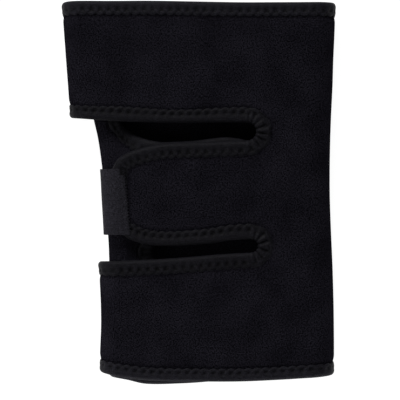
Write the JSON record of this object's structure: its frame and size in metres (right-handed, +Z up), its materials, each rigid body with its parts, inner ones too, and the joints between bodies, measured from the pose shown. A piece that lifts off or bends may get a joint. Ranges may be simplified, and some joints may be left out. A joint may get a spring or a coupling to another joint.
{
  "type": "knee support",
  "caption": "Wrap-around knee support of padded loop-pile cloth with bound edges and hook tape, closed and lying flat with its leg opening through it.",
  "frame": {"origin": "on the floor under the middle of the part's box", "axes": "+Z up out of the front face, +Y along the leg towards the picture's top, +X towards the plain folded side"},
  "size_m": [0.2072, 0.287, 0.04],
  "materials": {
    "pile_cloth": "brushed loop pile over foam, black",
    "edge_tape": "knitted stretch tape, black, zigzag stitched",
    "hook_tape": "woven hook tape, smooth back, charcoal"
  },
  "bodies": {
    "root": {"wrap_panel": "pile_cloth", "top_binding": "edge_tape", "bottom_binding": "edge_tape", "front_slot_binding": "edge_tape", "under_slot_binding": "edge_tape", "middle_hook_tab": "hook_tape", "top_hook_tab": "hook_tape", "bottom_hook_tab": "hook_tape"}
  },
  "joints": []
}
